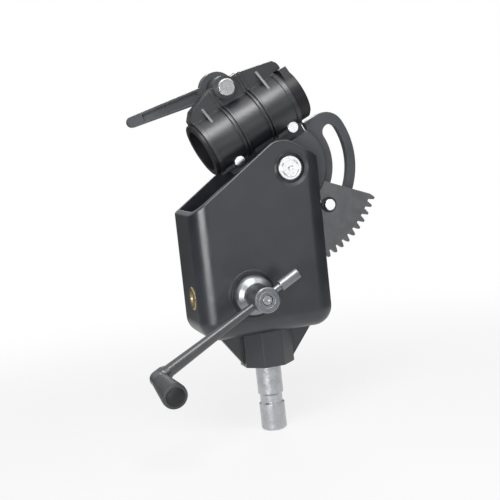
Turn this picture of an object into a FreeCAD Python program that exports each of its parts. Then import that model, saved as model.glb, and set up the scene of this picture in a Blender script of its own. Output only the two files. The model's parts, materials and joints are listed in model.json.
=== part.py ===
import FreeCAD
import Part
import math
import os
import re

import Sketcher

Vector = FreeCAD.Vector

# Driving sizes, in millimetres and degrees
SIZES = {
    # Where the axes are, measured from the column's foot and from the tilt pivot
    "pivot_across": 38.0,
    "pivot_height": 216.0,
    "crank_back": 58.2,
    "crank_drop": 130.4,
    "rest_tilt": 25.2,
    # Gear case
    "case_left": 116.5,
    "case_right": 36.0,
    "case_drop": 178.0,
    "case_depth": 82.0,
    "case_wall": 5.0,
    "case_floor": 6.0,
    "cheek": 6.0,
    "corner_round": 22.0,
    "front_round": 20.0,
    "back_round": 5.0,
    "edge_round": 2.5,
    "slope_angle": 35.1,
    "slope_offset": 35.5,
    "fall_angle": 32.0,
    "fall_offset": 26.35,
    "ear_round": 25.0,
    # Column under the case
    "column_width": 56.0,
    "gusset": 9.0,
    "gusset_left": 26.0,
    "gusset_right": 28.0,
    "gusset_foot": 2.0,
    # Spigot below the column
    "spigot_radius": 14.3,
    "spigot_length": 76.0,
    "spigot_tenon": 12.5,
    "spigot_ceiling": 12.0,
    "spigot_chamfer": 2.0,
    "spigot_groove": 1.8,
    "spigot_groove_length": 12.0,
    "spigot_groove_depth": 34.0,
    "spigot_screw": 5.0,
    "spigot_screw_head": 9.0,
    "spigot_screw_head_height": 5.0,
    "spigot_screw_grip": 22.0,
    # Tilt pivot
    "pivot_shank": 10.0,
    "pivot_head": 13.6,
    "pivot_head_height": 4.5,
    "pivot_mark": 1.6,
    "pivot_mark_depth": 1.2,
    "pivot_sink": 19.5,
    "pivot_sink_bevel": 3.4,
    "pivot_sink_depth": 8.0,
    "pivot_nut_sink_depth": 11.0,
    "pivot_boss": 26.0,
    "pivot_bush": 13.0,
    "pivot_bush_length": 11.0,
    "pivot_thread": 8.0,
    "pivot_nut": 12.0,
    "pivot_nut_height": 6.5,
    "pivot_washer": 2.0,
    "pivot_washer_margin": 3.0,
    "thrust_washer": 1.2,
    "thrust_radius": 24.0,
    # Running and seating clearances
    "run_gap": 0.03,
    "face_gap": 0.1,
    "seat_gap": 0.3,
    # Gears
    "sector_module": 3.0,
    "sector_teeth": 75.0,
    "pinion_teeth": 12.0,
    "wheel_module": 1.5,
    "wheel_teeth": 48.0,
    "pressure_angle": 20.0,
    "tooth_shift": 0.3,
    "tooth_thinning": 0.12,
    "sector_thick": 8.0,
    "sector_inner": 50.5,
    "sector_start": 23.55,
    "sector_cut_teeth": 19.0,
    "sector_screw_circle": 68.0,
    "sector_screw_first": 44.0,
    "sector_screw_step": 27.0,
    "sector_screw": 4.0,
    "sector_screw_head": 6.4,
    "sector_screw_head_height": 4.2,
    "sector_washer": 8.6,
    "sector_washer_thick": 1.4,
    "wheel_thick": 10.0,
    "pinion_overhang": 2.0,
    "wheel_front": 8.0,
    "wheel_hole": 5.0,
    "wheel_hole_circle": 23.0,
    "crank_pinion_overhang": 0.5,
    # Tilting bracket
    "web": 10.0,
    "hub_radius": 49.0,
    "hub_half": 16.0,
    "hub_flat": 20.2,
    "plate_radius": 89.0,
    "plate_top": 27.8,
    "plate_round": 22.0,
    "slot_inner": 61.4,
    "slot_outer": 79.5,
    "slot_from": 2.8,
    "slot_to": 55.0,
    "plate_end": 43.5,
    "tongue_top": 36.9,
    "tongue_left": 52.0,
    "tongue_right": 33.0,
    # Tube clamp
    "tube_radius": 24.15,
    "tube_height": 62.0,
    "tube_relief": 0.5,
    "jaw_radius": 31.8,
    "jaw_ring": 33.0,
    "jaw_rib": 34.4,
    "jaw_left": 62.5,
    "jaw_right": 45.0,
    "jaw_end": 5.0,
    "rib_width": 2.2,
    "rib_pair_gap": 2.0,
    "rib_pair_left": 25.5,
    "rib_pair_right": 8.5,
    "jaw_gap": 2.4,
    "flange_thick": 10.0,
    "foot_thick": 9.0,
    "foot_bottom": 29.2,
    "ridge_left": 35.0,
    "ridge_peak": 53.0,
    "ridge_right": 44.0,
    "ridge_end": 49.5,
    "gusset_web": 3.0,
    "ridge_rib": 1.8,
    "ridge_root": 16.0,
    "jaw_rib_left": 45.0,
    "jaw_rib_right": 28.0,
    "jaw_gusset_root": 14.0,
    "clamp_bolt_back": 11.5,
    "clamp_bolt_up": 46.5,
    "clamp_boss": 13.0,
    "clamp_boss_height": 4.0,
    "clamp_shank": 5.0,
    "clamp_head": 9.5,
    "clamp_head_height": 7.0,
    "clamp_washer": 1.8,
    "jaw_screw_left": 40.0,
    "jaw_screw_right": 31.0,
    "jaw_screw_up": 32.8,
    "jaw_screw": 3.0,
    "jaw_screw_head": 6.4,
    "jaw_screw_head_height": 6.0,
    "jaw_nut_height": 5.0,
    "jaw_nut": 5.0,
    "pad_left": 18.0,
    "pad_right": 11.0,
    "pad_height": 3.0,
    "liner_wall": 2.6,
    "liner_length": 10.0,
    "liner_flange": 31.0,
    "liner_lip": 3.5,
    "collar_length": 12.5,
    "liner_slit": 6.0,
    "tab_up": 32.1,
    "tab_front": 20.5,
    # Clamping lever
    "lever_length": 107.5,
    "lever_hub": 19.2,
    "lever_hub_height": 13.0,
    "lever_root": 8.6,
    "lever_tip": 6.0,
    "lever_thick": 9.0,
    "lever_recess": 3.0,
    "lever_rim": 2.2,
    "lever_droop": 15.0,
    "lever_insert": 9.0,
    # Crank
    "crank_rim": 27.0,
    "crank_rim_height": 1.6,
    "crank_rim_width": 2.6,
    "bearing_flange": 22.4,
    "bearing_base": 10.0,
    "bearing_round": 8.0,
    "bearing_height": 14.0,
    "bearing_nose": 12.6,
    "bearing_step": 1.2,
    "bearing_hollow": 3.0,
    "bearing_nose_height": 5.0,
    "bearing_sleeve": 14.0,
    "crank_boss": 19.0,
    "crank_boss_reach": 17.0,
    "shaft_radius": 8.0,
    "pinion_seat": 5.0,
    "crank_rear_bush": 9.0,
    "hub_socket": 26.5,
    "hub_screw_grip": 12.0,
    "crank_hub": 13.8,
    "crank_hub_length": 33.5,
    "hub_waist": 12.6,
    "arm_length": 137.3,
    "arm_reach": 37.5,
    "arm_angle": 208.5,
    "grip_lean": 12.0,
    "arm_thin": 4.3,
    "arm_thick": 6.8,
    "arm_elbow": 9.0,
    "elbow_reach": 10.0,
    "knob_neck": 3.6,
    "knob_neck_length": 8.2,
    "knob_radius": 6.2,
    "knob_length": 24.5,
    "grip_radius": 13.5,
    "grip_root": 9.6,
    "grip_length": 42.0,
    "grip_spindle": 5.0,
    "grip_cap": 9.8,
    "grip_cap_depth": 6.0,
    "hub_screw": 3.0,
    "hub_screw_head": 5.3,
    "hub_screw_head_height": 3.8,
    "hub_screw_sink": 4.2,
    "hub_screw_key": 2.5,
    "hub_screw_key_depth": 3.0,
    # Brake on the crank shaft
    "drum_radius": 20.0,
    "drum_length": 21.0,
    "brake_across": 6.0,
    "brake_plug": 13.0,
    "brake_plug_length": 13.0,
    "brake_plug_proud": 1.4,
    "brake_boss": 18.0,
    "brake_boss_reach": 27.5,
    "brake_bore": 9.0,
    "brake_shoe": 9.0,
    "brake_shoe_wrap": 3.0,
    "brake_spring": 7.6,
    "brake_spring_bore": 3.4,
    "brake_shoe_length": 11.0,
    # Idler between crank and sector
    "idler_radius": 7.0,
    "idler_bush": 10.0,
    "idler_boss": 15.0,
    "idler_hub": 12.0,
    "idler_boss_reach": 16.0,
    # Cover on the back
    "cover_thick": 4.0,
    "cover_half_width": 64.0,
    "cover_half_height": 43.5,
    "cover_lap": 5.0,
    "cover_round": 12.0,
    "opening_round": 20.0,
    "cover_down": 129.5,
    "cover_back": 34.8,
    "cover_screw": 2.0,
    "cover_screw_head": 3.8,
    "cover_screw_head_height": 2.6,
    "cover_screw_edge": 7.0,
    "cover_boss_face": 20.0,
    "cover_boss_wall": 5.0,
    # Openings in the case
    "slot_half": 22.0,
    "slot_low": 119.0,
}

# Sizes worked out from the driving ones
LAYOUT = {
    "case_x0": "pivot_across - case_left",
    "case_x1": "pivot_across + case_right",
    "case_z0": "pivot_height - case_drop",
    "rim_z": "pivot_height + (slope_offset - sin(slope_angle * 1deg) * case_left) / cos(slope_angle * 1deg)",
    "ear_z": "pivot_height + (fall_offset - sin(fall_angle * 1deg) * case_right) / cos(fall_angle * 1deg)",
    "peak_x": "pivot_across - (slope_offset * cos(fall_angle * 1deg) - fall_offset * cos(slope_angle * 1deg))"
              " / sin((slope_angle + fall_angle) * 1deg)",
    "peak_z": "pivot_height + (slope_offset * sin(fall_angle * 1deg) + fall_offset * sin(slope_angle * 1deg))"
              " / sin((slope_angle + fall_angle) * 1deg)",
    "half_depth": "case_depth / 2",
    "inner_half": "case_depth / 2 - cheek",
    "boss_face": "hub_half + thrust_washer + 2 * face_gap",
    "spigot_socket": "pivot_height - case_drop + case_floor - spigot_ceiling",
    "crank_x": "pivot_across - crank_back",
    "crank_z": "pivot_height - crank_drop",
    "train_reach": "sector_module * (sector_teeth + pinion_teeth) / 2",
    "wheel_reach": "wheel_module * (wheel_teeth + pinion_teeth) / 2",
    "crank_reach": "sqrt(crank_back * crank_back + crank_drop * crank_drop)",
}

DOC = FreeCAD.newDocument("GearedHead")
NODES = []
WORD = re.compile(r"[a-z][a-z_]*[a-z0-9_]*")
FRONT = Vector(0, -1, 0)
BACK = Vector(0, 1, 0)
RIGHT = Vector(1, 0, 0)
DOWN = Vector(0, 0, -1)
UP = Vector(0, 0, 1)
FAR = "400"
EPSILON = 1e-3


def make_sheet(name, cells):
    """A sheet with one named cell for each entry."""
    sheet = DOC.addObject("Spreadsheet::Sheet", name)
    for row, (alias, text) in enumerate(cells.items(), start=1):
        sheet.set(f"A{row}", alias)
        sheet.set(f"B{row}", text)
        sheet.setAlias(f"B{row}", alias)
    DOC.recompute()
    return sheet


def ref(text):
    """The expression with each named size pointed at its sheet."""
    def point(match):
        word = match.group(0)
        if word in SIZES:
            return f"Sizes.{word}"
        if word in LAYOUT:
            return f"Layout.{word}"
        return word
    return WORD.sub(point, str(text))


def value(text):
    """The number an expression has now."""
    result = SHEET.evalExpression(ref(text))
    return float(getattr(result, "Value", result))


SHEET = make_sheet("Sizes", {name: str(number) for name, number in SIZES.items()})
make_sheet("Layout", {name: "=" + ref(text) for name, text in LAYOUT.items()})


def idler_place():
    """The idler axis, one gear distance from the pivot and one from the crank."""
    pivot = Vector(value("pivot_across"), 0, value("pivot_height"))
    crank = Vector(value("crank_x"), 0, value("crank_z"))
    far, near, base = value("train_reach"), value("wheel_reach"), value("crank_reach")
    along = (far * far - near * near + base * base) / (2 * base)
    aside = math.sqrt(far * far - along * along)
    line = (crank - pivot).normalize()
    across = Vector(-line.z, 0, line.x)
    return pivot + line * along + across * aside


IDLER = idler_place()
IDLER_X, IDLER_Z = repr(IDLER.x), repr(IDLER.z)


def place(item, base, turn=None):
    """Puts an object at a point given by three expressions, turned as asked."""
    spot = [value(text) for text in base]
    item.Placement = FreeCAD.Placement(Vector(*spot), turn or FreeCAD.Rotation())
    for axis, text in zip("xyz", base):
        item.setExpression(f"Placement.Base.{axis}", ref(text))
    return item


def keep(item, label):
    """Marks an object as a sub-part of its own."""
    item.Label = label
    NODES.append(item)
    return item


def facing(direction):
    """The turn that points a turned piece's axis in a direction."""
    return FreeCAD.Rotation(UP, direction)


def tilt_turn():
    """The turn of everything that tilts, at rest."""
    return FreeCAD.Rotation(BACK, -value("rest_tilt"))


def tilted(along, across, up):
    """The place of a point given in the tilting bracket's own directions."""
    return (
        f"pivot_across + ({along}) * cos(rest_tilt * 1deg) - ({up}) * sin(rest_tilt * 1deg)",
        across,
        f"pivot_height + ({along}) * sin(rest_tilt * 1deg) + ({up}) * cos(rest_tilt * 1deg)",
    )


def new_body(label):
    return keep(DOC.addObject("PartDesign::Body", label), label)


def sketch_on(body, plane, offset):
    """An empty sketch on one of the body's own planes, moved along the plane's normal."""
    sketch = body.newObject("Sketcher::SketchObject", "Sketch")
    base = next(item for item in body.Origin.OriginFeatures if item.Role == plane)
    sketch.AttachmentSupport = (base, [""])
    sketch.MapMode = "FlatFace"
    sketch.setExpression("AttachmentOffset.Base.z", ref(offset))
    return sketch


def fix(sketch, edge, end, across, up):
    """Holds one end of an edge at two expressions."""
    for kind, text in (("DistanceX", across), ("DistanceY", up)):
        index = sketch.addConstraint(Sketcher.Constraint(kind, -1, 1, edge, end, value(text)))
        sketch.setExpression(f"Constraints[{index}]", ref(text))


def size_of(sketch, kind, edge, text):
    index = sketch.addConstraint(Sketcher.Constraint(kind, edge, value(text)))
    sketch.setExpression(f"Constraints[{index}]", ref(text))


def loop(corners):
    """A closed outline through corners; a third entry in a corner is its round."""
    def draw(sketch):
        spots = [Vector(value(corner[0]), value(corner[1]), 0) for corner in corners]
        total = len(corners)
        starts, ends, arcs = list(spots), list(spots), {}
        for number, corner in enumerate(corners):
            if len(corner) < 3:
                continue
            here = spots[number]
            before = (spots[number - 1] - here).normalize()
            after = (spots[(number + 1) % total] - here).normalize()
            half = before.getAngle(after) / 2
            radius = value(corner[2])
            ends[number] = here + before * (radius / math.tan(half))
            starts[number] = here + after * (radius / math.tan(half))
            centre = here + (before + after).normalize() * (radius / math.sin(half))
            middle = centre + (here - centre).normalize() * radius
            arcs[number] = Part.Arc(ends[number], middle, starts[number])
        sides = [Part.LineSegment(starts[i], ends[(i + 1) % total]) for i in range(total)]
        lines = [sketch.addGeometry(side, False) for side in sides]
        for number, corner in enumerate(corners):
            entry, leave = lines[number - 1], lines[number]
            if number not in arcs:
                sketch.addConstraint(Sketcher.Constraint("Coincident", entry, 2, leave, 1))
                fix(sketch, leave, 1, corner[0], corner[1])
                continue
            arc = sketch.addGeometry(arcs[number], False)
            first, last = arc_ends(sketch, arc, ends[number])
            sketch.addConstraint(Sketcher.Constraint("Tangent", entry, 2, arc, first))
            sketch.addConstraint(Sketcher.Constraint("Tangent", arc, last, leave, 1))
            size_of(sketch, "Radius", arc, corner[2])
            point = sketch.addGeometry(Part.Point(spots[number]), True)
            sketch.addConstraint(Sketcher.Constraint("PointOnObject", point, 1, entry))
            sketch.addConstraint(Sketcher.Constraint("PointOnObject", point, 1, leave))
            fix(sketch, point, 1, corner[0], corner[1])
    return draw


def arc_ends(sketch, arc, start):
    """Which ends of an arc lie at its first and last point."""
    at_first = sketch.getPoint(arc, 1).distanceToPoint(start) < sketch.getPoint(arc, 2).distanceToPoint(start)
    return (1, 2) if at_first else (2, 1)


def circles(spots):
    """Circles, each with its centre and radius."""
    def draw(sketch):
        for across, up, radius in spots:
            centre = Vector(value(across), value(up), 0)
            edge = sketch.addGeometry(Part.Circle(centre, UP, value(radius)), False)
            fix(sketch, edge, 3, across, up)
            size_of(sketch, "Radius", edge, radius)
    return draw


def ring_part(inner, outer, low, high):
    """A piece of a ring about the origin, between two angles in degrees."""
    def draw(sketch):
        turns = [math.radians(value(low)), math.radians(value(high))]
        for radius in (inner, outer):
            circle = Part.Circle(Vector(), UP, value(radius))
            arc = sketch.addGeometry(Part.ArcOfCircle(circle, turns[0], turns[1]), False)
            sketch.addConstraint(Sketcher.Constraint("Coincident", arc, 3, -1, 1))
            size_of(sketch, "Radius", arc, radius)
        for end, angle in ((1, low), (2, high)):
            spots = [sketch.getPoint(arc, end) for arc in (0, 1)]
            line = sketch.addGeometry(Part.LineSegment(*spots), False)
            sketch.addConstraint(Sketcher.Constraint("Coincident", line, 1, 0, end))
            sketch.addConstraint(Sketcher.Constraint("Coincident", line, 2, 1, end))
            index = sketch.addConstraint(Sketcher.Constraint("Angle", line, math.radians(value(angle))))
            sketch.setExpression(f"Constraints[{index}]", ref(f"({angle}) * 1deg"))
            sketch.addConstraint(Sketcher.Constraint("PointOnObject", -1, 1, line))
    return draw


PLANES = {"XY_Plane": 1, "XZ_Plane": -1, "YZ_Plane": 1}


def add(body, plane, low, high, draw):
    """Material between two heights over a plane: Z, Y or X for XY, XZ or YZ."""
    sign = PLANES[plane]
    sketch = sketch_on(body, plane, low if sign > 0 else f"-({high})")
    draw(sketch)
    item = body.newObject("PartDesign::Pad", "Pad")
    item.Profile = sketch
    item.setExpression("Length", ref(f"({high}) - ({low})"))
    DOC.recompute()
    return item


def cut(body, plane, low, high, draw):
    """Material taken away between two heights over a plane."""
    sign = PLANES[plane]
    sketch = sketch_on(body, plane, high if sign > 0 else f"-({low})")
    draw(sketch)
    before = body.Shape.Volume
    item = body.newObject("PartDesign::Pocket", "Pocket")
    item.Profile = sketch
    item.setExpression("Length", ref(f"({high}) - ({low})"))
    DOC.recompute()
    if body.Shape.Volume >= before:
        raise ValueError(f"{body.Label}: {item.Name} takes nothing away")
    return item


def box(x_low, x_high, y_low, y_high):
    return loop([(x_low, y_low), (x_high, y_low), (x_high, y_high), (x_low, y_high)])


def revolve(body, corners):
    """A turned solid about the body's Z axis; corners are (radius, height)."""
    sketch = sketch_on(body, "XZ_Plane", "0")
    loop(corners)(sketch)
    item = body.newObject("PartDesign::Revolution", "Turned")
    item.Profile = sketch
    item.ReferenceAxis = (sketch, ["V_Axis"])
    item.Angle = 360
    DOC.recompute()
    return item


def turned(label, corners, base, turn):
    """A turned sub-part; corners are (radius, distance along the axis)."""
    body = new_body(label)
    revolve(body, corners)
    place(body, base, turn)
    return body


def sleeve(label, inner, outer, low, high, base, turn):
    """A plain bush or washer."""
    corners = [(inner, low), (outer, low), (outer, high), (inner, high)]
    return turned(label, corners, base, turn)


def headed(shank, length, head, height, chamfer="0.6"):
    """The profile of a screw: shank below zero, head above."""
    return [("0", f"-({length})"), (shank, f"-({length})"), (shank, "0"), (head, "0"),
            (head, f"{height} - {chamfer}"), (f"{head} - {chamfer}", height), ("0", height)]


def repeated(label, make, spots):
    """Several like pieces as one sub-part with separate solids."""
    pieces = [make(f"{label}_{number}", spot) for number, spot in enumerate(spots, start=1)]
    for piece in pieces:
        NODES.remove(piece)
    group = DOC.addObject("Part::Compound", label)
    group.Links = pieces
    return keep(group, label)


def nut(label, across, bore, height, base, turn):
    """A hexagon nut standing on its base point."""
    prism = DOC.addObject("Part::Prism", f"{label}_blank")
    prism.Polygon = 6
    prism.setExpression("Circumradius", ref(f"({across}) / cos(30deg)"))
    prism.setExpression("Height", ref(height))
    hole = DOC.addObject("Part::Cylinder", f"{label}_hole")
    hole.setExpression("Radius", ref(bore))
    hole.setExpression("Height", ref(height))
    for tool in (prism, hole):
        place(tool, base, turn)
    item = DOC.addObject("Part::Cut", label)
    item.Base, item.Tool = prism, hole
    return keep(item, label)


def cut_with(body, tool):
    """Takes one body's shape out of another."""
    item = body.newObject("PartDesign::Boolean", "Cut")
    item.Type = "Cut"
    item.setObjects([tool])
    DOC.recompute()
    return item


def ease(body, kind, wanted, amount):
    """Rounds or bevels the body's edges that a test picks out."""
    before = body.Shape.Volume
    names = [f"Edge{number}" for number, edge in enumerate(body.Shape.Edges, start=1) if wanted(edge)]
    item = body.newObject(f"PartDesign::{kind}", kind)
    item.Base = (item.BaseFeature, names)
    item.setExpression({"Fillet": "Radius", "Chamfer": "Size"}[kind], ref(amount))
    DOC.recompute()
    if not names or abs(body.Shape.Volume - before) < EPSILON:
        raise ValueError(f"{body.Label}: {item.Name} changes nothing")


def round_uprights(body, face, sides, radius):
    """Rounds the upright edges where a front or back face meets the side walls."""
    level, ends = value(face), [value(side) for side in sides]

    def wanted(edge):
        bounds = edge.BoundBox
        flat = max(abs(bounds.YMin - level), abs(bounds.YMax - level)) < EPSILON
        return flat and min(abs(bounds.Center.x - end) for end in ends) < EPSILON and bounds.XLength < EPSILON

    ease(body, "Fillet", wanted, radius)


def round_front_top(body):
    """Rounds the long top edge of the front cheek, from one end wall to the other."""
    front, low = -value("half_depth"), value("case_z0 + corner_round")

    def wanted(edge):
        bounds = edge.BoundBox
        flat = max(abs(bounds.YMin - front), abs(bounds.YMax - front)) < EPSILON
        return flat and bounds.ZMin > low and bounds.XLength > EPSILON

    ease(body, "Fillet", wanted, "edge_round")


def make_case():
    """The cast gear case with its two ears, its column and the bosses inside."""
    body = new_body("gear_case")
    add(body, "XZ_Plane", "-half_depth", "half_depth", loop([
        ("case_x0", "case_z0", "corner_round"), ("case_x1", "case_z0", "corner_round"),
        ("case_x1", "ear_z"), ("peak_x", "peak_z", "ear_round"), ("case_x0", "rim_z")]))
    round_uprights(body, "-half_depth", ("case_x0", "case_x1"), "front_round")
    round_uprights(body, "half_depth", ("case_x0", "case_x1"), "back_round")
    round_front_top(body)
    room = DOC.addObject("PartDesign::Body", "room_inside")
    walls = ("case_x0 + case_wall", "case_x1 - case_wall")
    add(room, "XZ_Plane", "-inner_half", "inner_half", loop([
        (walls[0], "case_z0 + case_floor", "corner_round - case_wall"),
        (walls[1], "case_z0 + case_floor", "corner_round - case_wall"),
        (walls[1], "peak_z + 10"), (walls[0], "peak_z + 10")]))
    round_uprights(room, "-inner_half", walls, "front_round - case_wall")
    cut_with(body, room)
    add_column(body)
    add_bosses(body)
    bore_case(body)
    return body


def add_column(body):
    """The eight-sided column under the case, with a gusset on each side."""
    half, short = "column_width / 2", "column_width / 2 * tan(22.5 * 1deg)"
    corners = [(half, short), (short, half), (f"-{short}", half), (f"-{half}", short),
               (f"-{half}", f"-{short}"), (f"-{short}", f"-{half}"), (short, f"-{half}"), (half, f"-{short}")]
    add(body, "XY_Plane", "0", "case_z0 + case_floor", loop(corners))
    for side, reach in (("-1", "gusset_left"), ("1", "gusset_right")):
        root, tip = f"{side} * (column_width / 2 - 1)", f"{side} * (column_width / 2 + {reach})"
        rib = [(root, "case_z0 + 3"), (tip, "case_z0 + 3"), (tip, "case_z0"),
               (f"{side} * column_width / 2", "gusset_foot"), (root, "gusset_foot")]
        add(body, "XZ_Plane", "-gusset / 2", "gusset / 2", loop(rib))


def add_bosses(body):
    """Bearing bosses inside the cheeks and the brake boss on the left wall."""
    pivot = circles([("pivot_across", "pivot_height", "pivot_boss")])
    add(body, "XZ_Plane", "-inner_half", "-boss_face", pivot)
    add(body, "XZ_Plane", "boss_face", "inner_half", pivot)
    add(body, "XZ_Plane", "-inner_half", "-crank_boss_reach", circles([("crank_x", "crank_z", "crank_boss")]))
    add(body, "XZ_Plane", "-inner_half", "-idler_boss_reach", circles([(IDLER_X, IDLER_Z, "idler_boss")]))
    rim = circles([
        ("crank_x", "crank_z", radius) for radius in ("crank_rim", "crank_rim - crank_rim_width")
    ])
    add(body, "XZ_Plane", "-half_depth - crank_rim_height", "-half_depth", rim)
    add(body, "YZ_Plane", "case_x0 + case_wall / 2", "case_x0 + brake_boss_reach",
        circles([("-brake_across", "crank_z", "brake_boss")]))


def bore_case(body):
    """Every hole and opening in the case."""
    def bore(low, high, across, up, radius, plane="XZ_Plane"):
        cut(body, plane, low, high, circles([(across, up, radius)]))

    bore("-half_depth", "half_depth", "pivot_across", "pivot_height", "pivot_shank + run_gap")
    bore("-half_depth", "-half_depth + pivot_sink_depth", "pivot_across", "pivot_height",
         "pivot_sink - pivot_sink_bevel")
    ease(body, "Chamfer", mouth_of_sink, "pivot_sink_bevel")
    bore("half_depth - pivot_nut_sink_depth", "half_depth", "pivot_across", "pivot_height", "pivot_sink")
    bore("-half_depth - 1", "-crank_boss_reach", "crank_x", "crank_z", "bearing_sleeve + run_gap")
    bore("-inner_half", "-idler_boss_reach", IDLER_X, IDLER_Z, "idler_bush + run_gap")
    bore("case_x0 - 1", "case_x0 + brake_plug_length", "-brake_across", "crank_z",
         "brake_plug + run_gap", "YZ_Plane")
    bore("case_x0 + brake_plug_length", "case_x0 + brake_boss_reach", "-brake_across", "crank_z",
         "brake_bore + 2 * run_gap", "YZ_Plane")
    bore("0", "spigot_socket", "0", "0", "spigot_tenon + run_gap", "XY_Plane")
    bore("spigot_socket", "case_z0 + case_floor", "0", "0", "spigot_screw + 2 * run_gap", "XY_Plane")
    slot = box("-slot_half", "slot_half", "pivot_height - slot_low", "peak_z")
    cut(body, "YZ_Plane", "case_x1 - case_wall - 1", "case_x1 + 1", slot)
    cut(body, "XZ_Plane", "inner_half", "half_depth", loop(cover_corners("cover_lap", "opening_round")))
    cut(body, "XZ_Plane", "inner_half", "half_depth",
        circles([(x, z, "cover_screw + run_gap") for x, z in cover_screw_places()]))


def mouth_of_sink(edge):
    """Whether an edge is the mouth of the pivot's recess in the front face."""
    centre = Vector(value("pivot_across"), -value("half_depth"), value("pivot_height"))
    return isinstance(edge.Curve, Part.Circle) and edge.Curve.Center.distanceToPoint(centre) < EPSILON


def cover_corners(inset, corner_round):
    """The back cover's outline, or the smaller opening that it closes."""
    return [(f"pivot_across - cover_back + {x} * (cover_half_width - {inset})",
             f"pivot_height - cover_down + {z} * (cover_half_height - {inset})", corner_round)
            for x, z in ((-1, -1), (1, -1), (1, 1), (-1, 1))]


def cover_screw_places():
    return [corner[:2] for corner in cover_corners("cover_screw_edge", "0")]


def make_cover():
    """The plate on the back that carries the rear bearings."""
    body = new_body("rear_cover")
    add(body, "XZ_Plane", "half_depth", "half_depth + cover_thick", loop(cover_corners("0", "cover_round")))
    bearings = (("crank_x", "crank_z", "crank_rear_bush"), (IDLER_X, IDLER_Z, "idler_bush"))
    for across, up, radius in bearings:
        boss = circles([(across, up, f"{radius} + cover_boss_wall")])
        add(body, "XZ_Plane", "cover_boss_face", "half_depth + 1", boss)
        cut(body, "XZ_Plane", "cover_boss_face", "half_depth", circles([(across, up, f"{radius} + run_gap")]))
    cut(body, "XZ_Plane", "half_depth", "half_depth + cover_thick",
        circles([(x, z, "cover_screw + run_gap") for x, z in cover_screw_places()]))

    def screw(label, spot):
        profile = headed("cover_screw", "cover_thick + cheek - 1", "cover_screw_head",
                         "cover_screw_head_height")
        return turned(label, profile, (spot[0], "half_depth + cover_thick", spot[1]), facing(BACK))

    repeated("cover_screws", screw, cover_screw_places())


def make_spigot():
    """The steel spigot under the column and the screw that holds it from inside."""
    groove_top = "-spigot_groove_depth"
    groove_foot = "-spigot_groove_depth - spigot_groove_length"
    waist = "spigot_radius - spigot_groove"
    thread = "spigot_screw + run_gap"
    turned("spigot", [
        ("0", "-spigot_length"), ("spigot_radius - spigot_chamfer", "-spigot_length"),
        ("spigot_radius", "-spigot_length + spigot_chamfer"), ("spigot_radius", groove_foot),
        (waist, f"{groove_foot} + spigot_groove"), (waist, f"{groove_top} - spigot_groove"),
        ("spigot_radius", groove_top), ("spigot_radius", "0"), ("spigot_tenon", "0"),
        ("spigot_tenon", "spigot_socket - face_gap"), (thread, "spigot_socket - face_gap"),
        (thread, "spigot_socket - spigot_screw_grip - 2"), ("0", "spigot_socket - spigot_screw_grip - 2")],
        ("0", "0", "0"), FreeCAD.Rotation())
    profile = headed("spigot_screw", "case_z0 + case_floor - spigot_socket + spigot_screw_grip",
                     "spigot_screw_head", "spigot_screw_head_height")
    turned("spigot_screw", profile, ("0", "0", "case_z0 + case_floor"), FreeCAD.Rotation())


def make_pivot():
    """The tilt pivot: bolt, nut, washers and bushes on one axis."""
    at_pivot = ("pivot_across", "0", "pivot_height")
    seat = "half_depth - pivot_sink_depth"
    nut_seat = "half_depth - pivot_nut_sink_depth"
    bolt_end = "-(half_depth - 1)"
    turned("pivot_bolt", [
        ("0", bolt_end), ("pivot_thread - 1", bolt_end), ("pivot_thread", f"{bolt_end} + 1"),
        ("pivot_thread", f"-({nut_seat})"), ("pivot_shank", f"-({nut_seat})"), ("pivot_shank", seat),
        ("pivot_head", seat), ("pivot_head", f"{seat} + pivot_head_height - 1"),
        ("pivot_head - 1", f"{seat} + pivot_head_height"), ("pivot_mark", f"{seat} + pivot_head_height"),
        ("0", f"{seat} + pivot_head_height - pivot_mark_depth")], at_pivot, facing(FRONT))
    sleeve("pivot_washer", "pivot_thread + run_gap", "pivot_nut + pivot_washer_margin",
           nut_seat, f"{nut_seat} + pivot_washer",
           at_pivot, facing(BACK))
    nut("pivot_nut", "pivot_nut", "pivot_thread + run_gap", "pivot_nut_height",
        ("pivot_across", f"{nut_seat} + pivot_washer", "pivot_height"), facing(BACK))
    for name, way in (("front", FRONT), ("rear", BACK)):
        sleeve(f"pivot_bush_{name}", "pivot_shank + run_gap", "pivot_bush", "hub_half - pivot_bush_length",
               "hub_half", at_pivot, facing(way))
        sleeve(f"thrust_washer_{name}", "pivot_shank + 2 * run_gap", "thrust_radius", "hub_half + face_gap",
               "hub_half + face_gap + thrust_washer", at_pivot, facing(way))


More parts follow.
